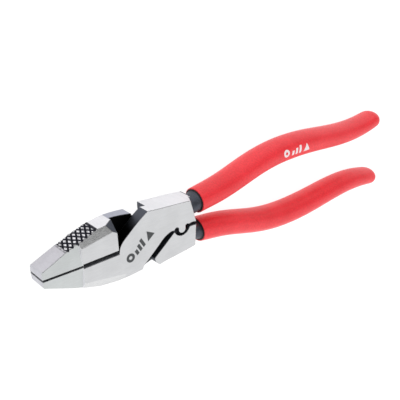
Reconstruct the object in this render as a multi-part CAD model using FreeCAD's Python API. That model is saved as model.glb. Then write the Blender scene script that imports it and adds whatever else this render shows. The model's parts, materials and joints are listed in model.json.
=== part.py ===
import FreeCAD, Part
import math
import os

# Lineman pliers lying flat on a bench, millimetres. The nose points along -X,
# the handles along +X, the pivot axis is Z and the jaws open in the XY plane.
# Outlines are first drawn in tool coordinates: x from the nose tip, y up from
# the jaw line, z from the middle of the thickness. The front half carries the
# lower jaw, the strap on the +z face and the upper handle; the rear half is
# the same forging turned half a turn about the x axis, with a nest in place of
# the crimping lobe and knurling on the outside of its jaw.

V = FreeCAD.Vector

LENGTH = 241.0              # nose tip to handle ends
HALF_THICK = 7.0            # half of the joint thickness
LAP_GAP = 0.05              # each lap face lies this far from the middle plane
JAW_GAP = 0.24              # each gripping face stands this far from the jaw line
PIVOT_X = 53.5              # pivot, from the nose tip

TIP_HALF_HEIGHT = 3.8       # flat nose end
TIP_HALF_THICK = 6.15       # nose thickness at the tip, on the jaw line
NOSE_LENGTH = 20.4          # gripping part of the jaws
NOSE_SIDE_SLOPE = 0.15      # nose cheeks thin out towards the outer edge
KNURL_START = (14.0, 9.7)   # ends of the outer flat, knurled on the upper jaw
KNURL_END = (29.5, 15.1)
JAW_CREST = (39.8, 16.15)   # outer edge, where the plain flat meets the strap
STRAP_END = (53.0, 14.3)
CHAMFER_START = (21.3, 9.2)
CHAMFER_RUN = -0.166        # the chamfer edge falls away along the jaw
CHAMFER_SLOPE = 0.45        # drop of the chamfer per millimetre outwards

KNIFE_START = 20.7
JAW_END = 40.4              # shoulder behind the knives
KNIFE_OPENING = 1.15        # half height of the knife bevels at the cheeks

TOOTH_PITCH = 1.2
TOOTH_DEPTH = 0.35
TOOTH_FIRST = 1.1
TOOTH_COUNT = 15

KNURL_PITCH = 2.65
KNURL_ANGLE = 27.0
KNURL_DEPTH = 0.6
KNURL_HALF_WIDTH = 0.54
KNURL_RUN_OUT = 1.2         # the grooves run on over the plain flat

# What was ground by hand differs a little between the halves: the front corner of
# the handle, the outline where the far layer starts again behind the strap, and
# the top of the slanting end on the far cheek.
FRONT_GRIND = {
    "corner": (58.5, 16.1),
    "notch": ((61.7, 10.6), (61.6, 13.3), (61.8, 16.0)),
    "end": (89.3, 12.7),
}
REAR_GRIND = {
    "corner": (56.6, 18.1),
    "notch": ((60.8, 11.1), (61.5, 13.6), (64.4, 15.8)),
    "end": (86.8, 12.9),
}
BODY_END_TOP = (89.1, 12.65)
BODY_END_NEAR = (85.1, 12.95)    # top of the slanting end on the near cheek
BODY_END_RIDGE = (89.5, 12.6, -1.3)
BODY_END_LOW = (88.05, 0.45)

RIVET_R = 4.8
RIVET_HEAD_R = 5.8
RIVET_PLAY = 0.05

LINER_PROUD = 0.45
LINER_INSET = 0.55          # red skin thickness
TANG_INSET = 1.2            # red skin and black liner together
END_DOME = 6.6

# Handle section: distance from the nose tip, height of the centre line,
# half height and half thickness of the oval.
GRIP_STATIONS = [
    (93.1, 8.46, 6.65, 7.75),
    (104.0, 9.95, 6.75, 8.10),
    (116.0, 12.35, 6.80, 8.40),
    (128.0, 15.60, 6.90, 8.55),
    (140.0, 18.40, 7.00, 8.60),
    (152.0, 19.95, 7.10, 8.60),
    (165.0, 20.30, 7.10, 8.60),
    (178.0, 19.65, 6.95, 8.60),
    (191.0, 18.35, 6.70, 8.55),
    (203.0, 17.25, 6.50, 8.45),
    (214.0, 16.90, 6.25, 8.30),
    (225.0, 17.60, 5.85, 8.10),
    (234.6, 19.15, 5.40, 7.80),
]
TANG_ROOT = [
    (84.6, 7.15, 5.55, 6.75),
    (88.8, 7.5, 5.1, 6.65),
]

MID_Z = 8.6                 # middle plane above the bench: half the grip thickness
FACE = V(0, 0, 1)


def flip(point):
    """The same point on the other side of the jaw line."""
    return (point[0], -point[1])


def line(a, b):
    return Part.LineSegment(V(a[0], a[1], 0), V(b[0], b[1], 0)).toShape()


def arc(a, mid, b):
    return Part.Arc(V(a[0], a[1], 0), V(mid[0], mid[1], 0), V(b[0], b[1], 0)).toShape()


def curve(points):
    spline = Part.BSplineCurve()
    spline.interpolate([V(p[0], p[1], 0) for p in points])
    return spline.toShape()


def plate(edges, low, high):
    """Solid between two heights over a closed outline of edges."""
    face = Part.Face(Part.Wire(edges))
    face.translate(V(0, 0, low))
    return face.extrude(V(0, 0, high - low))


def polygon_plate(points, low, high):
    closed = points + [points[0]]
    wire = Part.makePolygon([V(p[0], p[1], low) for p in closed])
    return Part.Face(wire).extrude(V(0, 0, high - low))


def beyond(point, normal, size=120.0):
    """Block filling the side of a plane that the normal points to."""
    block = Part.makeBox(size, size, size)
    block.translate(V(-size / 2, -size / 2, 0))
    block.Placement = FreeCAD.Placement(point, FreeCAD.Rotation(FACE, normal)).multiply(block.Placement)
    return block


# ------------------------------------------------------------------- outlines

def jaw_edges():
    """Outer edge of the lower jaw, from the nose tip to the end of the strap."""
    tip = (0.0, -TIP_HALF_HEIGHT + 0.5)
    tip_out = (0.8, -TIP_HALF_HEIGHT - 0.4)
    start = flip(KNURL_START)
    end = flip(KNURL_END)
    crest = flip(JAW_CREST)
    strap = flip(STRAP_END)
    return [
        line((0.0, -JAW_GAP), tip),
        arc(tip, (0.2, -TIP_HALF_HEIGHT - 0.02), tip_out),
        line(tip_out, start),
        line(start, end),
        line(end, crest),
        arc(crest, (46.8, -15.45), strap),
    ]


def strap_edges():
    """Lower right edge of the strap, from its rounded end up to the crimper."""
    tail = flip(STRAP_END)
    foot = (53.4, -13.1)
    return [
        arc(tail, (53.3, -13.9), foot),
        line(foot, (64.9, -3.6)),
        arc((64.9, -3.6), (68.1, -1.15), (72.0, 0.3)),
    ]


def lobe_edges():
    """Crimping lobe with its two small relief notches."""
    return [
        line((72.0, 0.3), (73.9, 0.1)),
        arc((73.9, 0.1), (75.6, 1.2), (76.85, 0.0)),
        arc((76.85, 0.0), (79.1, -2.85), (81.05, -0.6)),
        arc((81.05, -0.6), (82.0, 1.15), (83.3, 0.65)),
        arc((83.3, 0.65), (85.6, 0.95), BODY_END_LOW),
    ]


def nest_edges():
    """Hollow that the crimping lobe drops into."""
    low = (87.9, 1.35)
    return [
        line((72.0, 0.3), (73.9, 1.05)),
        arc((73.9, 1.05), (78.95, 4.35), (83.8, 1.1)),
        arc((83.8, 1.1), (85.6, 0.95), low),
        line(low, BODY_END_LOW),
    ]


def handle_edges(corner):
    """Ground end of the handle, its top edge and the strap back to the knives."""
    heel = (40.75, -JAW_GAP)
    return [
        arc(BODY_END_LOW, (89.5, 6.0), (89.9, 11.7)),
        arc((89.9, 11.7), (89.7, 12.4), BODY_END_TOP),
        curve([BODY_END_TOP, (80.9, 13.75), (73.0, 14.5), (65.9, 15.2), corner]),
        curve([corner, (52.5, corner[1] - 3.9), (46.3, 7.4), (42.1, 3.5), heel]),
        line(heel, (0.0, -JAW_GAP)),
    ]


def middle_edges(notch):
    """Ground taken out of the far layer so that the other strap can swing there."""
    low = (73.9, 1.05)
    foot, bend, lip = notch
    return [
        line((JAW_END, 26.0), (JAW_END, -26.0)),
        line((JAW_END, -26.0), (low[0], -26.0)),
        line((low[0], -26.0), low),
        line(low, foot),
        arc(foot, bend, lip),
        line(lip, (lip[0], 26.0)),
        line((lip[0], 26.0), (JAW_END, 26.0)),
    ]


# ------------------------------------------------------------- forging details

def cheek_cuts():
    """Nose taper and long chamfer on both cheeks of the lower jaw."""
    cuts = []
    for side in (1, -1):
        taper = (HALF_THICK - TIP_HALF_THICK) / NOSE_LENGTH
        nose = beyond(V(0, 0, side * TIP_HALF_THICK), V(-taper, -NOSE_SIDE_SLOPE, side))
        step = beyond(V(NOSE_LENGTH, 0, side * HALF_THICK), V(-1, 0, side * 0.3))
        cuts.append(nose.common(step))
        edge = V(CHAMFER_START[0], -CHAMFER_START[1], side * HALF_THICK)
        normal = V(CHAMFER_SLOPE * CHAMFER_RUN, -CHAMFER_SLOPE, side)
        chamfer = beyond(edge, normal)
        chamfer = chamfer.common(Part.makeBox(60, 60, 60, V(NOSE_LENGTH - 0.6, -60, -30)))
        cuts.append(chamfer)
    return cuts


def shoulder_scallop():
    """Oblique facet on the outer corner of the shoulder in the far layer."""
    a = V(38.6, -11.8, -HALF_THICK)
    b = V(35.4, -15.8, -5.1)
    c = V(40.3, -16.1, -2.0)
    normal = (b - a).cross(c - a)
    if normal.x < 0:
        normal = normal.negative()
    reach = Part.makeBox(10, 12, 8, V(33, -21, LAP_GAP - 8))
    return beyond(a, normal).common(reach)


def handle_end_cuts(far_end):
    """Slanting ends of the two ground cheeks, which meet in a ridge over the tang."""
    ridge = V(*BODY_END_RIDGE)
    cuts = []
    for side, top in ((1, BODY_END_NEAR), (-1, far_end)):
        low = V(BODY_END_LOW[0], BODY_END_LOW[1], side * HALF_THICK)
        high = V(top[0], top[1], side * HALF_THICK)
        normal = (high - low).cross(ridge - low)
        cuts.append(beyond(low, normal if normal.x > 0 else normal.negative()))
    return cuts


def knife_cut():
    """Bevels of the cutting edge, meeting at the middle of the thickness."""
    far = HALF_THICK + 1
    open_far = JAW_GAP + (KNIFE_OPENING - JAW_GAP) * far / HALF_THICK
    profile = [
        V(KNIFE_START, 0, -far),
        V(KNIFE_START, -open_far, -far),
        V(KNIFE_START, -JAW_GAP, 0),
        V(KNIFE_START, -open_far, far),
        V(KNIFE_START, 0, far),
        V(KNIFE_START, 0, -far),
    ]
    return Part.Face(Part.makePolygon(profile)).extrude(V(JAW_END - KNIFE_START + 0.2, 0, 0))


def tooth_cuts():
    """Cross grooves of the gripping face."""
    cuts = []
    for i in range(TOOTH_COUNT):
        x = TOOTH_FIRST + i * TOOTH_PITCH
        half = TOOTH_PITCH * 0.42
        bottom = (x, -JAW_GAP - TOOTH_DEPTH)
        groove = [(x - half, 0), (x - half, -JAW_GAP), bottom, (x + half, -JAW_GAP), (x + half, 0)]
        cuts.append(polygon_plate(groove, -8, 8))
    return cuts


def knurl_cuts():
    """Two crossing sets of vee grooves on the outer flat of the jaw, which turns into the upper one."""
    start = V(KNURL_START[0], -KNURL_START[1], 0)
    end = V(KNURL_END[0], -KNURL_END[1], 0)
    along = (end - start).normalize()
    out = V(along.y, -along.x, 0)
    length = start.distanceToPoint(end)
    bound = Part.makeBox(length + KNURL_RUN_OUT, 3.0, 20.0, V(0, -1.5, -10))
    on_flat = FreeCAD.Placement(start, FreeCAD.Rotation(along, out, FACE, "XYZ"))
    bound.Placement = on_flat.multiply(bound.Placement)
    grooves = []
    for sign in (1, -1):
        angle = math.radians(KNURL_ANGLE) * sign
        run = along * math.sin(angle) + FACE * math.cos(angle)
        wide = along * math.cos(angle) - FACE * math.sin(angle)
        for i in range(-2, 9):
            mid = start + along * (0.9 + i * KNURL_PITCH) - run * 9
            a = mid - wide * KNURL_HALF_WIDTH * 1.6 + out * KNURL_DEPTH * 0.6
            b = mid - out * KNURL_DEPTH
            c = mid + wide * KNURL_HALF_WIDTH * 1.6 + out * KNURL_DEPTH * 0.6
            grooves.append(Part.Face(Part.makePolygon([a, b, c, a])).extrude(run * 18))
    merged = grooves[0].multiFuse(grooves[1:])
    return merged.common(bound)


def rivet_hole(play):
    """Countersunk hole in the near strap, opened out all round by the play."""
    r = RIVET_R + play
    head = RIVET_HEAD_R + 2 * play
    cone_foot = HALF_THICK - (head - r)
    hole = Part.makeCylinder(r, HALF_THICK + 1, V(PIVOT_X, 0, -1), FACE)
    cone = Part.makeCone(r, head, head - r, V(PIVOT_X, 0, cone_foot), FACE)
    mouth = Part.makeCylinder(head, 1, V(PIVOT_X, 0, HALF_THICK), FACE)
    return hole.multiFuse([cone, mouth])


# ----------------------------------------------------------- handles and grips

def oval(centre, tangent, half_high, half_thick):
    """Closed oval at right angles to the handle."""
    normal = tangent
    major = FACE
    minor = normal.cross(major).normalize()
    if half_thick >= half_high:
        ellipse = Part.Ellipse(centre + major * half_thick, centre + minor * half_high, centre)
    else:
        ellipse = Part.Ellipse(centre + minor * half_high, centre + major * half_thick, centre)
    return Part.Wire(ellipse.toShape())


def spine_curve():
    spine = Part.BSplineCurve()
    spine.interpolate([V(s[0], s[1], 0) for s in GRIP_STATIONS])
    return spine


def handle_solid(inset, dome):
    """Smooth oval bar through the stations, closed by a rounded end."""
    spine = spine_curve()
    rings = []
    for x, y, high, thick in GRIP_STATIONS:
        tangent = spine.tangent(spine.parameter(V(x, y, 0)))[0]
        if not rings:
            tangent = V(1, 0, 0)
        rings.append(oval(V(x, y, 0), tangent, high - inset, thick - inset))
    bar = Part.makeLoft(rings, True, False)
    cap = [rings[-1]]
    for degrees in (15, 30, 45, 58, 70, 80, 87):
        turn = math.radians(degrees)
        centre = V(x, y, 0) + tangent * (dome * math.sin(turn))
        shrink = math.cos(turn)
        cap.append(oval(centre, tangent, (high - inset) * shrink, (thick - inset) * shrink))
    return bar.fuse(Part.makeLoft(cap, True, False))


def tang():
    """Steel bar inside the grip, with the neck that joins it to the forging."""
    mouth = GRIP_STATIONS[0]
    sections = TANG_ROOT + [(mouth[0], mouth[1], mouth[2] - TANG_INSET, mouth[3] - TANG_INSET)]
    rings = [oval(V(x, y, 0), V(1, 0, 0), high, thick) for x, y, high, thick in sections]
    neck = Part.makeLoft(rings, True, False)
    return neck.fuse(handle_solid(TANG_INSET, END_DOME - 2.5))


def liner_block():
    """Black base layer, standing a little out of the red skin."""
    x, y, high, thick = GRIP_STATIONS[0]
    ring = oval(V(x - LINER_PROUD, y, 0), V(1, 0, 0), high - LINER_INSET, thick - LINER_INSET)
    collar = Part.Face(ring).extrude(V(LINER_PROUD, 0, 0))
    return collar.fuse(handle_solid(LINER_INSET, END_DOME - LINER_INSET))


def grip_block():
    return handle_solid(0.0, END_DOME)


def forging(crimper, grind, play):
    """One half of the tool in the front position."""
    edges = jaw_edges() + strap_edges() + crimper + handle_edges(grind["corner"])
    body = plate(edges, -HALF_THICK, HALF_THICK)
    far = plate(middle_edges(grind["notch"]), -HALF_THICK - 1, LAP_GAP)
    tools = [far, shoulder_scallop(), knife_cut(), rivet_hole(play)]
    tools += handle_end_cuts(grind["end"]) + cheek_cuts() + tooth_cuts()
    return body.cut(tools).fuse(tang()).removeSplitter()


def rivet():
    """Headed pin, tight in the front strap and free in the rear one."""
    step = RIVET_HEAD_R - RIVET_R
    low = -HALF_THICK
    high = HALF_THICK
    profile = [
        V(0, 0, low),
        V(RIVET_HEAD_R, 0, low),
        V(RIVET_R, 0, low + step),
        V(RIVET_R, 0, high - step),
        V(RIVET_HEAD_R, 0, high),
        V(0, 0, high),
        V(0, 0, low),
    ]
    face = Part.Face(Part.makePolygon(profile))
    pin = face.revolve(V(0, 0, 0), FACE, 360)
    pin.translate(V(PIVOT_X, 0, 0))
    return pin


def turned(shape):
    """Half a turn about the long axis: the front half becomes the rear half."""
    copy = shape.copy()
    copy.rotate(V(0, 0, 0), V(1, 0, 0), 180)
    return copy


def save(shape, name):
    shape = shape.copy()
    shape.translate(V(-LENGTH / 2, 0, MID_Z))
    solids = shape.Solids
    part = solids[0] if len(solids) == 1 else shape
    part.exportStep("parts/" + name + ".step")
    print(name, len(solids), round(part.Volume, 1), part.isValid())


def main():
    os.makedirs("parts", exist_ok=True)
    front = forging(lobe_edges(), FRONT_GRIND, 0.0)
    rear_blank = forging(nest_edges(), REAR_GRIND, RIVET_PLAY)
    rear = turned(rear_blank.cut(knurl_cuts().Solids))
    liner = liner_block().cut(tang())
    grip = grip_block().cut(liner_block())
    save(front, "front_half")
    save(rear, "rear_half")
    save(rivet(), "pivot_rivet")
    save(liner, "upper_grip_liner")
    save(turned(liner), "lower_grip_liner")
    save(grip, "upper_grip")
    save(turned(grip), "lower_grip")


main()
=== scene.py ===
import json
import math

import bmesh
import bpy
from mathutils import Matrix, Vector
from mathutils.bvhtree import BVHTree


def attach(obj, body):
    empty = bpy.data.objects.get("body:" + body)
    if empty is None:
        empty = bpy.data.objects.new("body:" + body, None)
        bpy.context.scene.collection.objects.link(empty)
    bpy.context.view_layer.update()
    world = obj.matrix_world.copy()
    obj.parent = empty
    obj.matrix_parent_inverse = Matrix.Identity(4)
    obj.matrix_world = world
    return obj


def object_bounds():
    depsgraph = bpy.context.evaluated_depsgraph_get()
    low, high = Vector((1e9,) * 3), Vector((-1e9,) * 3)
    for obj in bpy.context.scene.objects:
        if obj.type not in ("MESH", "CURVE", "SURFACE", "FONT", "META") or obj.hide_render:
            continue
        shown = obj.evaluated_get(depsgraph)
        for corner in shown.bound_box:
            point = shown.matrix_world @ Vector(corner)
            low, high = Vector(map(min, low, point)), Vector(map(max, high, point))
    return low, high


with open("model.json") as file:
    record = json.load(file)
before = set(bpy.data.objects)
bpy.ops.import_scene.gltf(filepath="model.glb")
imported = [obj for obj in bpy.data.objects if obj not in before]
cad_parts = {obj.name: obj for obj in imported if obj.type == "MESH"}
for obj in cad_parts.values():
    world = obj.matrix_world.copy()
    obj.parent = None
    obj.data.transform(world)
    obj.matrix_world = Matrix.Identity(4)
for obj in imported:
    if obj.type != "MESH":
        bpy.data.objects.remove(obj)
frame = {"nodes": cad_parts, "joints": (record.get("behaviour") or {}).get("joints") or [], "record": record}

# Lineman pliers lying on their side. Places are given as in the part: millimetres from the nose
# tip along X, from the jaw line along Y and from the middle of the lap joint along Z.

MM = 0.001
CAD_LOW, CAD_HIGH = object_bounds()
PIVOT = Vector(frame["joints"][0]["pos_m"])
MOUNTS = {mount["name"]: mount for mount in frame["record"]["mounts"]}
NOSE = Vector((CAD_LOW.x, PIVOT.y, PIVOT.z))
CHEEK = (MOUNTS["front_cheek"]["pos_m"][2] - PIVOT.z) / MM      # half of the joint thickness
RIVET = ((PIVOT.x - NOSE.x) / MM, 0.0, 0.0)

NOSE_END = 20.4          # end of the gripping faces
KNIFE_START = 20.7
JAW_END = 40.4           # shoulder behind the knives
KNIFE_MOUTH = 1.4        # the knife bevels reach this far from the jaw line
TEETH_HEIGHT = 0.8       # the teeth reach this far from the jaw line
GAP_HEIGHT = 0.6         # the dark gap between the closed jaws reaches this far
KNURL_START = Vector((14.0, 9.7))
KNURL_END = Vector((29.5, 15.1))
KNURL_BASE = 8.3         # the knurl lies on the upper jaw, above this height
CHAMFER_END = 43.0       # the long chamfer of the jaws ends here
SHOULDER = (39.7, 40.3)  # range where the edge of the jaws turns into the edge of the lap
LAP_END = 56.5           # the edge of the lap ends here
STRAP_TOP = 58.5         # corner between the strap and the handle
BODY_END = 88.8          # the bare tang starts here
RIM_LOW = 3.9            # the nose facet starts this far from the jaw line
END_SLOPE = 0.134        # fall of the ground top edge at the end of the handle
END_TOP = 12.65          # its height, at END_AT from the nose
END_AT = 89.1
RIM_TOP = END_TOP + END_AT * END_SLOPE + 0.05
RIVET_ZONE = 7.0         # edges are left sharp inside this radius, so that the rivet stays unseen

STRAP_MARK_AT = (52.4, -0.9)
STRAP_MARK_HEIGHT = 4.9
STRAP_MARK_LEAN = 37.5   # degrees
GRIP_MARK_AT = (151.0, 18.4)
GRIP_MARK_HEIGHT = 4.4
ABOVE = 20.0             # higher than every part of the tool

CAMERA_AT = (-0.2296, 0.1624, 0.2713)
CAMERA_RIGHT = Vector((0.7739, -0.0371, 0.6322))
CAMERA_UP = Vector((0.2938, 0.9054, -0.3064))
CAMERA_SHIFT = (-0.0051, 0.00325)
SENSOR = 36.0
LENS = 62.42

TENT_LIGHT = 1.15        # the white tent around the tool
TENT_DIM = 0.04          # its open side, which the chamfers mirror
DIM_SIDE = (0.45, 0.68, 0.58)
DIM_EDGE = 0.68          # cosines from that side where the light starts and ends fading
DIM_CORE = 0.93
DIM_FOOT = 0.25          # sines of the elevation where the open side starts and ends fading in
DIM_TOP = 0.42
FLOOR_GLOW = 0.95        # keeps the floor white under the tool, without a shadow


def place(x, y, z):
    """Row frame position of a point given in the part's own millimetres."""
    return NOSE + Vector((x, y, z)) * MM


# --------------------------------------------------------------- node helpers

class Tree:
    """Shader nodes of one material or of the world, joined by short calls."""

    def __init__(self, owner, shader="Principled BSDF"):
        self.owner = owner
        owner.use_nodes = True
        self.nodes = owner.node_tree.nodes
        self.links = owner.node_tree.links
        self.shader = self.nodes[shader]
        self.coords = self.add("ShaderNodeTexCoord")

    def add(self, kind, **settings):
        node = self.nodes.new(kind)
        for key, value in settings.items():
            setattr(node, key, value)
        return node

    def feed(self, socket, value):
        if isinstance(value, bpy.types.NodeSocket):
            self.links.new(value, socket)
        elif isinstance(value, tuple) and len(value) == 3 and socket.type == "RGBA":
            socket.default_value = (*value, 1.0)
        else:
            socket.default_value = value

    def maths(self, operation, *values):
        node = self.add("ShaderNodeMath", operation=operation)
        for socket, value in zip(node.inputs, values):
            self.feed(socket, value)
        return node.outputs[0]

    def vector(self, operation, *values):
        node = self.add("ShaderNodeVectorMath", operation=operation)
        for socket, value in zip(node.inputs, values):
            self.feed(socket, value)
        return node.outputs["Value" if operation in ("DOT_PRODUCT", "LENGTH") else "Vector"]

    def step(self, value, low, high, at_low=0.0, at_high=1.0):
        """Smooth change from at_low to at_high while value goes from low to high."""
        node = self.add("ShaderNodeMapRange", interpolation_type="SMOOTHSTEP")
        for socket, number in zip(node.inputs, (value, low, high, at_low, at_high)):
            self.feed(socket, number)
        return node.outputs[0]

    def all_of(self, *masks):
        result = masks[0]
        for mask in masks[1:]:
            result = self.maths("MULTIPLY", result, mask)
        return result

    def any_of(self, *masks):
        result = masks[0]
        for mask in masks[1:]:
            result = self.maths("MAXIMUM", result, mask)
        return result

    def inverse(self, mask):
        return self.maths("SUBTRACT", 1.0, mask)

    def mix(self, share, first, second):
        """Colour or vector between first and second."""
        node = self.add("ShaderNodeMix", data_type="RGBA")
        self.feed(node.inputs["Factor"], share)
        self.feed(node.inputs[6], first)
        self.feed(node.inputs[7], second)
        return node.outputs[2]

    def blend(self, share, first, second):
        """Number between first and second."""
        node = self.add("ShaderNodeMix", data_type="FLOAT")
        self.feed(node.inputs["Factor"], share)
        self.feed(node.inputs[2], first)
        self.feed(node.inputs[3], second)
        return node.outputs[0]

    def parts(self, vector):
        """The three components of a vector."""
        node = self.add("ShaderNodeSeparateXYZ")
        self.feed(node.inputs[0], vector)
        return node.outputs

    def position(self):
        """Place on the part in millimetres, which moves with the part."""
        moved = self.vector("SUBTRACT", self.coords.outputs["Object"], tuple(NOSE))
        return self.scaled(moved, 1 / MM)

    def scaled(self, vector, factor):
        """Vector or colour times one number."""
        node = self.add("ShaderNodeVectorMath", operation="SCALE")
        self.feed(node.inputs[0], vector)
        self.feed(node.inputs["Scale"], factor)
        return node.outputs[0]

    def noise(self, vector, pitch, detail=2.0, roughness=0.5, low=0.0, high=1.0):
        """Noise of about that pitch in millimetres, or one pitch along each axis."""
        pitches = pitch if isinstance(pitch, tuple) else (pitch, pitch, pitch)
        spaced = self.vector("DIVIDE", vector, pitches)
        node = self.add("ShaderNodeTexNoise")
        self.feed(node.inputs["Vector"], spaced)
        node.inputs["Scale"].default_value = 1.0
        node.inputs["Detail"].default_value = detail
        node.inputs["Roughness"].default_value = roughness
        return self.step(node.outputs["Fac"], 0.3, 0.7, low, high)

    def bump(self, height, distance, strength=1.0, normal=None):
        node = self.add("ShaderNodeBump")
        node.inputs["Distance"].default_value = distance
        node.inputs["Strength"].default_value = strength
        self.feed(node.inputs["Height"], height)
        if normal is not None:
            self.feed(node.inputs["Normal"], normal)
        return node.outputs[0]

    def rounded(self, radius):
        """Normal that softens sharp edges over that radius."""
        node = self.add("ShaderNodeBevel", samples=4)
        node.inputs["Radius"].default_value = radius
        return node.outputs[0]

    def set(self, **sockets):
        for name, value in sockets.items():
            self.feed(self.shader.inputs[name.replace("_", " ")], value)
        return self.owner


def material_tree(name):
    return Tree(bpy.data.materials.new(name))


# ------------------------------------------------------------------ materials

GROUND = (0.565, 0.57, 0.58)
NOSE_GROUND = (0.54, 0.56, 0.56)
CHAMFER = (0.65, 0.655, 0.66)
FACET = (0.78, 0.775, 0.805)
# Darker copies of FACET, painted shade on the nose facet and the lap facet.
NOSE_FACET_SHADED = (0.56, 0.55, 0.59)
LAP_FACET_SHADED = (0.38, 0.39, 0.46)
TIP_GROUND = (0.54, 0.54, 0.58)
KNIFE = (0.36, 0.37, 0.39)
TEETH = (0.26, 0.27, 0.29)
FORGED = (0.088, 0.095, 0.115)
# Near-black painted shade for the lap floors, the notch walls and the jaw gap, and a lighter painted shade
# for the floor in the slot.
PAINTED_SHADE = (0.003, 0.003, 0.003)
SLOT_PAINTED_SHADE = (0.05, 0.055, 0.055)
# Near-black painted shade for the groove band of the knurl.
GROOVE_PAINTED_SHADE = (0.02, 0.02, 0.03)
WORN_EDGE = (0.35, 0.35, 0.38)


def end_height(tree, x, height):
    """Height with the slope of the top edge taken out, so that this edge lies at RIM_TOP."""
    return tree.maths("ADD", height, tree.maths("MULTIPLY", x, END_SLOPE))


def rim_mask(tree, x, height, across, outwards):
    """Ground outer edges of the jaws and handles."""
    above = end_height(tree, x, height)
    tang_top = tree.all_of(tree.step(x, 84.0, 85.0), tree.step(above, RIM_TOP - 0.35, RIM_TOP - 0.45))
    return tree.all_of(
        tree.step(across, 0.88, 0.91),
        outwards,
        tree.step(height, RIM_LOW - 0.3, RIM_LOW),
        tree.step(above, RIM_TOP + 0.1, RIM_TOP),
        tree.step(x, BODY_END, BODY_END - 0.2),
        tree.inverse(tang_top),
    )


def knurl_masks(tree, x, y, height, cheek):
    """The knurled patch of the upper jaw, and a groove band in it, along its lower edge, where shade is
    painted near black.
    """
    slope = (KNURL_END - KNURL_START).normalized()
    below = tree.maths("MULTIPLY", tree.maths("SUBTRACT", x, KNURL_START.x), slope.y)
    over = tree.maths("MULTIPLY", tree.maths("SUBTRACT", height, KNURL_START.y), slope.x)
    depth = tree.maths("SUBTRACT", over, below)
    patch = tree.all_of(
        tree.step(x, KNURL_START.x - 1.2, KNURL_START.x - 0.4),
        tree.step(x, KNURL_END.x + 2.0, KNURL_END.x + 1.6),
        tree.step(y, KNURL_BASE - 0.3, KNURL_BASE + 0.3),
    )
    groove = tree.all_of(
        patch,
        tree.step(depth, -0.02, -0.07),
        tree.step(depth, -1.1, -0.9),
        tree.inverse(cheek),
    )
    return patch, groove


def cheek_masks(tree, x, depth, facing):
    """The ground cheeks, and the long chamfer of the jaws that is part of them."""
    # The jaws' cheeks slope down towards the middle plane, and the handles' cheeks lie flat.
    least_depth = tree.step(x, 54.0, 58.0, 2.75, CHEEK - 0.1)
    least_facing = tree.step(x, 25.0, 27.0, 0.50, 0.72)
    cheek = tree.all_of(
        tree.step(facing, least_facing, tree.maths("ADD", least_facing, 0.04)),
        tree.step(tree.maths("SUBTRACT", depth, least_depth), -0.05, 0.05),
    )
    chamfer = tree.all_of(
        cheek,
        tree.step(facing, 0.965, 0.945),
        tree.step(x, CHAMFER_END + 1.0, CHAMFER_END - 1.0),
    )
    return cheek, chamfer


def nose_masks(tree, x, height, depth, backwards):
    """The flat end of the nose, and the small step behind its cheeks."""
    low = TEETH_HEIGHT - 0.05
    high = TEETH_HEIGHT + 0.05
    tip = tree.any_of(
        tree.all_of(backwards, tree.step(x, 1.0, 0.5)),
        tree.all_of(tree.step(x, 2.0, 1.6), tree.step(height, low, high)),
    )
    nose_step = tree.all_of(
        backwards,
        tree.step(x, NOSE_END - 1.5, NOSE_END - 1.0),
        tree.step(x, NOSE_END + 1.0, NOSE_END + 0.5),
        tree.step(depth, 4.0, 4.5),
    )
    return tip, nose_step


def jaw_masks(tree, x, height, facing, cheek):
    """Knife bevels, teeth, and the strip along the gap between the closed gripping faces, where shade is
    painted near black.
    """
    knife = tree.all_of(
        tree.step(x, KNIFE_START - 0.2, KNIFE_START - 0.1),
        tree.step(x, JAW_END + 0.3, JAW_END + 0.1),
        tree.step(height, KNIFE_MOUTH + 0.1, KNIFE_MOUTH - 0.1),
        tree.step(facing, 0.5, 0.4),
    )
    grip = tree.step(x, KNIFE_START - 0.1, KNIFE_START - 0.2)
    near_line = tree.step(height, TEETH_HEIGHT + 0.05, TEETH_HEIGHT - 0.05)
    teeth = tree.all_of(grip, near_line, tree.inverse(cheek))
    gap = tree.all_of(grip, tree.step(height, GAP_HEIGHT + 0.02, GAP_HEIGHT - 0.02))
    return knife, teeth, gap


def lap_shade_masks(tree, x, y, height, depth, normal_z):
    """Painted shade on the floors and walls of the lap joint, darker nearer the jaw line in the notch, and a
    lighter painted shade on the floor in the slot beside the strap.
    """
    facing = tree.maths("ABSOLUTE", normal_z)
    bottom = tree.all_of(tree.step(facing, 0.80, 0.84), tree.step(depth, 1.2, 0.6))
    # Painted shade on the notch walls: full below 8.5 mm from the jaw line, fading out by 14.8 mm.
    notch_wall_shade = tree.all_of(
        tree.step(x, JAW_END, JAW_END + 0.5),
        tree.step(x, STRAP_TOP + 0.3, STRAP_TOP),
        tree.step(height, 14.8, 8.5),
    )
    # The floor faces on the slot side get the lighter painted shade.
    painted_slot_shade = tree.all_of(bottom, tree.step(tree.maths("MULTIPLY", normal_z, y), 0.0, -1.0))
    return tree.any_of(bottom, notch_wall_shade), painted_slot_shade


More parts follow.
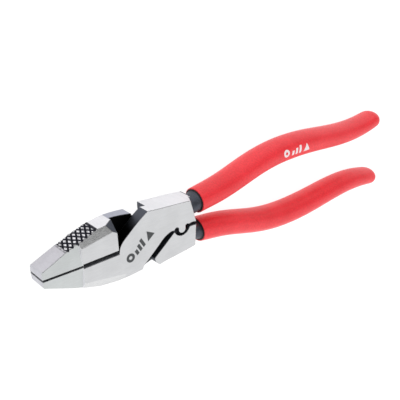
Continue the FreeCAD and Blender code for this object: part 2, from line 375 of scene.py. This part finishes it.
def finish_and_shade_masks(tree, position):
    """Where the forging is ground bright, where its knives and teeth are dark, and where shade is painted in
    its recesses, slot, jaw gap and knurl groove.
    """
    x, y, z = tree.parts(position)
    normal = tree.parts(tree.coords.outputs["Normal"])
    across = tree.maths("ABSOLUTE", normal[1])
    facing = tree.maths("ABSOLUTE", normal[2])
    height = tree.maths("ABSOLUTE", y)
    depth = tree.maths("ABSOLUTE", z)
    outwards = tree.step(tree.maths("MULTIPLY", normal[1], y), 0.0, 0.5)
    backwards = tree.step(normal[0], -0.8, -0.9)

    cheek, chamfer = cheek_masks(tree, x, depth, facing)
    rim = rim_mask(tree, x, height, across, outwards)
    tip, nose_step = nose_masks(tree, x, height, depth, backwards)
    knife, teeth, gap = jaw_masks(tree, x, height, facing, cheek)
    painted_lap_shade, painted_slot_shade = lap_shade_masks(tree, x, y, height, depth, normal[2])
    knurl, groove = knurl_masks(tree, x, y, height, cheek)
    return {
        "x": x,
        "cheek": cheek,
        "chamfer": chamfer,
        "rim": rim,
        "tip": tree.all_of(tip, tree.inverse(cheek)),
        "nose_step": nose_step,
        "knife": knife,
        "teeth": teeth,
        # Painted shade: a near-black strip on the cheeks and nose end beside the jaw line.
        "painted_gap_shade": tree.all_of(gap, tree.any_of(cheek, tip)),
        "painted_lap_shade": painted_lap_shade,
        "painted_slot_shade": painted_slot_shade,
        "knurl": knurl,
        "groove": groove,
        "bright": tree.all_of(tree.any_of(cheek, rim, tip, nose_step), tree.inverse(gap)),
    }


def ground_colour(tree, masks, grinding, cloud):
    """Colour of the ground faces, from the nose back to the handles, with darker copies of the facet colour
    as painted shade on the nose and along the lap.
    """
    x = masks["x"]
    cheeks = tree.mix(tree.step(x, NOSE_END - 0.1, NOSE_END + 0.3), NOSE_GROUND, GROUND)
    cheeks = tree.mix(masks["chamfer"], cheeks, CHAMFER)
    cheeks = tree.mix(masks["nose_step"], cheeks, FACET)
    cheeks = tree.mix(masks["tip"], cheeks, TIP_GROUND)
    # Painted shade: the nose and lap facets get darker copies of the facet colour.
    rims = tree.mix(tree.step(x, KNURL_START.x - 0.2, KNURL_START.x + 0.2), NOSE_FACET_SHADED, FACET)
    lap = tree.all_of(tree.step(x, *SHOULDER), tree.step(x, LAP_END + 0.5, LAP_END - 0.5))
    rims = tree.mix(lap, rims, LAP_FACET_SHADED)
    ground = tree.mix(tree.all_of(masks["rim"], tree.inverse(masks["cheek"])), cheeks, rims)
    stripes = tree.step(grinding, 0.0, 1.0, 0.93, 1.03)
    clouds = tree.step(cloud, 0.0, 1.0, 0.97, 1.02)
    return tree.scaled(ground, tree.maths("MULTIPLY", stripes, clouds))


def skin_and_shade_colour(tree, masks, speck):
    """Colour of the dark forged skin, the knives and the teeth, with painted shade in the recesses, the slot
    and the jaw gap.
    """
    # Painted shade on the lap floors and notch walls.
    dark = tree.mix(masks["painted_lap_shade"], FORGED, PAINTED_SHADE)
    dark = tree.mix(masks["teeth"], dark, TEETH)
    # Painted shade along the jaw line.
    dark = tree.mix(masks["painted_gap_shade"], dark, PAINTED_SHADE)
    # Lighter painted shade on the floor in the slot.
    dark = tree.mix(masks["painted_slot_shade"], dark, SLOT_PAINTED_SHADE)
    dark = tree.mix(masks["knife"], dark, KNIFE)
    return tree.scaled(dark, tree.step(speck, 0.0, 1.0, 0.75, 1.2))


def edge_wear_and_shade(tree, position):
    """Softened normal, nearness of an edge, and a painted shade line along upper front edges."""
    flat = tree.add("ShaderNodeNewGeometry").outputs["Normal"]
    offset = tree.vector("SUBTRACT", position, RIVET)
    from_rivet = tree.vector("LENGTH", tree.vector("MULTIPLY", offset, (1, 1, 0)))
    outside = tree.step(from_rivet, RIVET_ZONE - 0.4, RIVET_ZONE + 0.4)
    normal = tree.vector("NORMALIZE", tree.mix(outside, flat, tree.rounded(0.6 * MM)))
    wear = tree.step(tree.vector("DOT_PRODUCT", normal, flat), 0.99, 0.94)
    turn = tree.parts(normal)
    # Painted shade: edges whose softened normal turns up and to the front get a dark line, as if lit from
    # above.
    upper_edge_shade = tree.all_of(
        wear,
        tree.step(tree.maths("ABSOLUTE", turn[0]), 0.55, 0.45),
        tree.step(turn[1], 0.25, 0.45),
        tree.step(turn[2], 0.25, 0.45),
    )
    return normal, wear, upper_edge_shade


def forged_steel_and_painted_shade():
    """Forging with ground cheeks and rims and dark forged skin everywhere else, with painted shade in the
    lap, the jaw gap, the knurl groove, on the nose and lap facets and along upper front edges.
    """
    tree = material_tree("forged_steel_and_painted_shade")
    position = tree.position()
    masks = finish_and_shade_masks(tree, position)
    bright = masks["bright"]
    along = tree.noise(position, (6.0, 0.16, 0.16), 3.0, 0.6)
    over = tree.noise(position, (0.14, 3.0, 3.0), 3.0, 0.6)
    grinding = tree.blend(masks["cheek"], over, along)
    cloud = tree.noise(position, 9.0, 3.0, 0.55)
    speck = tree.noise(position, 0.35, 2.0, 0.6)
    normal, wear, upper_edge_shade = edge_wear_and_shade(tree, position)

    ground = ground_colour(tree, masks, grinding, cloud)
    # Painted shade along the upper front edges darkens the ground colour.
    ground = tree.scaled(ground, tree.step(upper_edge_shade, 0.0, 1.0, 1.0, 0.15))
    rubbed = tree.step(tree.noise(position, 1.6, 1.0), 0.1, 0.7, 0.45, 1.0)
    lands = tree.all_of(masks["knurl"], masks["rim"])
    ground = tree.mix(lands, ground, tree.scaled(ground, rubbed))
    colour = tree.mix(bright, skin_and_shade_colour(tree, masks, speck), ground)
    worn = tree.maths("MULTIPLY", wear, tree.step(speck, 0.2, 0.8, 0.15, 0.5))
    colour = tree.mix(tree.all_of(worn, tree.inverse(bright)), colour, WORN_EDGE)
    # Painted shade: the knurl's groove band is coloured near black.
    colour = tree.mix(masks["groove"], colour, GROOVE_PAINTED_SHADE)

    rough_ground = tree.all_of(
        tree.step(grinding, 0.0, 1.0, 0.30, 0.42),
        tree.step(wear, 0.0, 0.5, 1.0, 0.3),
        tree.step(masks["chamfer"], 0.0, 1.0, 1.0, 0.85),
    )
    rough = tree.blend(bright, tree.step(speck, 0.0, 1.0, 0.42, 0.58), rough_ground)
    grain = tree.bump(grinding, 0.012 * MM, 0.5, normal)
    pits = tree.maths("MULTIPLY", speck, tree.inverse(bright))
    pitted = tree.bump(pits, 0.04 * MM, 0.5, grain)
    return tree.set(Base_Color=colour, Metallic=1.0, Roughness=rough, Normal=pitted)


def red_skin():
    """Dipped plastic: satin red with a faint orange peel."""
    tree = material_tree("red_skin")
    position = tree.position()
    patches = tree.noise(position, 14.0, 2.0, 0.5)
    peel = tree.noise(position, 0.9, 2.0, 0.5)
    grain = tree.noise(position, 0.22, 2.0, 0.6)
    colour = tree.mix(patches, (0.82, 0.024, 0.034), (0.90, 0.032, 0.044))
    colour = tree.scaled(colour, tree.step(peel, 0.0, 1.0, 0.92, 1.04))
    colour = tree.scaled(colour, tree.step(grain, 0.0, 1.0, 0.96, 1.03))
    rough = tree.step(grain, 0.0, 1.0, 0.38, 0.50)
    bumps = tree.bump(peel, 0.05 * MM, 0.6)
    bumps = tree.bump(grain, 0.010 * MM, 0.6, bumps)
    tree.set(Sheen_Weight=0.2, Sheen_Roughness=0.3)
    return tree.set(Base_Color=colour, Roughness=rough, Normal=bumps)


def black_base():
    """Matt black layer under the red skin."""
    tree = material_tree("black_base")
    position = tree.position()
    grain = tree.noise(position, 0.4, 3.0, 0.6)
    colour = tree.mix(grain, (0.006, 0.005, 0.005), (0.012, 0.009, 0.010))
    rough = tree.step(grain, 0.0, 1.0, 0.6, 0.75)
    return tree.set(Base_Color=colour, Roughness=rough, Normal=tree.bump(grain, 0.02 * MM))


def etched_mark():
    """Dark oxide left by laser etching."""
    tree = material_tree("etched_mark")
    grain = tree.noise(tree.position(), 0.15, 2.0, 0.6)
    colour = tree.mix(grain, (0.045, 0.048, 0.05), (0.10, 0.105, 0.11))
    rough = tree.step(grain, 0.0, 1.0, 0.55, 0.7)
    bumps = tree.bump(grain, 0.01 * MM)
    return tree.set(Base_Color=colour, Metallic=0.4, Roughness=rough, Normal=bumps)


def white_print():
    """Slightly worn white pad print."""
    tree = material_tree("white_print")
    grain = tree.noise(tree.position(), 0.3, 3.0, 0.6)
    colour = tree.mix(grain, (0.80, 0.62, 0.64), (0.95, 0.90, 0.90))
    rough = tree.step(grain, 0.0, 1.0, 0.40, 0.55)
    return tree.set(Base_Color=colour, Roughness=rough, Normal=tree.bump(grain, 0.004 * MM))


def give(node, material):
    """Puts the material alone on a CAD node."""
    slots = frame["nodes"][node].data.materials
    slots.clear()
    slots.append(material)


# ---------------------------------------------------------------------- marks

def disc(centre, radius, count=28):
    """Outline of a round disc."""
    turn = 2 * math.pi / count
    spokes = (Vector((math.cos(turn * i), math.sin(turn * i))) for i in range(count))
    return [centre + spoke * radius for spoke in spokes]


def slab(left, width, height, lean):
    """Leaning bar that stands on the base line."""
    shift = lean * height
    corners = ((left, 0), (left + width, 0), (left + width + shift, height), (left + shift, height))
    return [Vector(corner) for corner in corners]


def add_outline(mesh, outer, inner=None):
    """One flat shape in the mesh, with a hole where inner is given."""
    ring = [mesh.verts.new((p.x, p.y, 0)) for p in outer]
    if inner is None:
        mesh.faces.new(ring)
        return
    hole = [mesh.verts.new((p.x, p.y, 0)) for p in inner]
    count = len(ring)
    for i in range(count):
        j = (i + 1) % count
        mesh.faces.new((ring[i], ring[j], hole[j], hole[i]))


def emblem(height, spread=1.0):
    """Generic flat mark: a ring, three leaning bars that grow and a wedge."""
    mesh = bmesh.new()
    radius = 0.5 * height
    centre = Vector((radius, radius))
    add_outline(mesh, disc(centre, radius), disc(centre, 0.40 * radius))
    left = 1.14 * spread * height
    for share in (0.6, 0.8, 1.0):
        add_outline(mesh, slab(left, 0.36 * height, share * height, 0.15))
        left += 0.52 * spread * height
    wedge = ((left + 0.2 * height, 0), (left + 1.3 * height, 0), (left + 0.85 * height, height))
    add_outline(mesh, [Vector(corner) for corner in wedge])
    return mesh, left + 1.3 * height


def split_fine(mesh, size):
    """Cuts the flat shapes so finely that they can follow a curved surface."""
    bmesh.ops.triangulate(mesh, faces=mesh.faces[:])
    for _ in range(4):
        long_edges = [e for e in mesh.edges if e.calc_length() > size]
        if not long_edges:
            break
        bmesh.ops.subdivide_edges(mesh, edges=long_edges, cuts=1, use_grid_fill=False)
        bmesh.ops.triangulate(mesh, faces=mesh.faces[:])


def thicken(mesh, thickness):
    """Closes the flat shapes into thin solids that hang below their top faces."""
    top = mesh.faces[:]
    made = bmesh.ops.extrude_face_region(mesh, geom=top)
    lowered = [item for item in made["geom"] if isinstance(item, bmesh.types.BMVert)]
    for vert in lowered:
        vert.co.z -= thickness
    bmesh.ops.recalc_face_normals(mesh, faces=mesh.faces[:])


def object_from(mesh, name, material):
    data = bpy.data.meshes.new(name)
    mesh.to_mesh(data)
    mesh.free()
    data.materials.append(material)
    piece = bpy.data.objects.new(name, data)
    bpy.context.scene.collection.objects.link(piece)
    return piece


def strap_mark():
    """Etched mark that climbs along the strap on the front cheek."""
    mesh, width = emblem(STRAP_MARK_HEIGHT)
    turn = Matrix.Rotation(math.radians(STRAP_MARK_LEAN), 4, "Z")
    middle = Vector((width / 2, STRAP_MARK_HEIGHT / 2, 0))
    for vert in mesh.verts:
        local = turn @ (vert.co - middle) + Vector((*STRAP_MARK_AT, CHEEK + 0.012))
        vert.co = place(*local)
    thicken(mesh, 0.03 * MM)
    piece = object_from(mesh, "strap_mark", etched_mark())
    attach(piece, "front")


def grip_mark():
    """White printed mark on the upper grip, laid on its curved skin."""
    skin = frame["nodes"]["upper_grip"].data
    corners = [vert.co for vert in skin.vertices]
    surface = BVHTree.FromPolygons(corners, [face.vertices[:] for face in skin.polygons])
    mesh, _ = emblem(GRIP_MARK_HEIGHT, 1.25)
    split_fine(mesh, 0.6)
    for vert in mesh.verts:
        start = place(GRIP_MARK_AT[0] + vert.co.x, GRIP_MARK_AT[1] + vert.co.y, ABOVE)
        hit = surface.ray_cast(start, Vector((0, 0, -1)))[0]
        vert.co = hit + Vector((0, 0, 0.03 * MM))
    thicken(mesh, 0.05 * MM)
    piece = object_from(mesh, "grip_mark", white_print())
    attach(piece, "front")


# --------------------------------------------------------------------- studio

def floor():
    """Pale floor that glows a little, so that it stays white under the tool."""
    mesh = bmesh.new()
    bmesh.ops.create_grid(mesh, x_segments=1, y_segments=1, size=3.0)
    tree = material_tree("pale_floor")
    grain = tree.noise(tree.coords.outputs["Object"], 0.01, 2.0)
    colour = tree.mix(grain, (0.14, 0.14, 0.14), (0.16, 0.16, 0.16))
    tree.set(Emission_Color=(1.0, 1.0, 1.0), Emission_Strength=FLOOR_GLOW)
    plane = object_from(mesh, "floor", tree.set(Base_Color=colour, Roughness=0.9))
    plane.location.z = CAD_LOW.z


def area_light(name, at, size, power):
    data = bpy.data.lights.new(name, "AREA")
    data.shape = "DISK"
    data.size = size
    data.energy = power
    lamp = bpy.data.objects.new(name, data)
    lamp.location = at
    lamp.rotation_euler = (Vector((0, 0, 0)) - Vector(at)).to_track_quat("-Z", "Y").to_euler()
    bpy.context.scene.collection.objects.link(lamp)


def studio():
    """White tent around the tool with one dim side, and two soft lamps."""
    world = bpy.data.worlds.new("studio")
    tree = Tree(world, "Background")
    direction = tree.coords.outputs["Generated"]
    towards = tree.vector("DOT_PRODUCT", direction, Vector(DIM_SIDE).normalized())
    upwards = tree.parts(direction)["Z"]
    dim = tree.all_of(tree.step(towards, DIM_EDGE, DIM_CORE), tree.step(upwards, DIM_FOOT, DIM_TOP))
    strength = tree.maths("MULTIPLY_ADD", dim, TENT_DIM - TENT_LIGHT, TENT_LIGHT)
    bpy.context.scene.world = tree.set(Strength=strength, Color=(1.0, 1.0, 1.0))
    area_light("key", (0.1, 0.9, 0.7), 0.8, 1.0)
    area_light("fill", (0.6, -0.6, 0.7), 0.9, 0.15)
    bpy.context.scene.view_settings.view_transform = "Standard"


def camera():
    data = bpy.data.cameras.new("camera")
    data.sensor_width = SENSOR
    data.lens = LENS
    data.shift_x, data.shift_y = CAMERA_SHIFT
    data.clip_start = 0.01
    cam = bpy.data.objects.new("camera", data)
    back = CAMERA_RIGHT.cross(CAMERA_UP)
    turn = Matrix((CAMERA_RIGHT, CAMERA_UP, back)).transposed().to_4x4()
    cam.matrix_world = Matrix.Translation(CAMERA_AT) @ turn
    bpy.context.scene.collection.objects.link(cam)
    bpy.context.scene.camera = cam


def main():
    camera()
    studio()
    floor()
    steel = forged_steel_and_painted_shade()
    for node in ("front_half", "rear_half", "pivot_rivet"):
        give(node, steel)
    skin = red_skin()
    base = black_base()
    for side in ("upper", "lower"):
        give(side + "_grip", skin)
        give(side + "_grip_liner", base)
    strap_mark()
    grip_mark()


main()
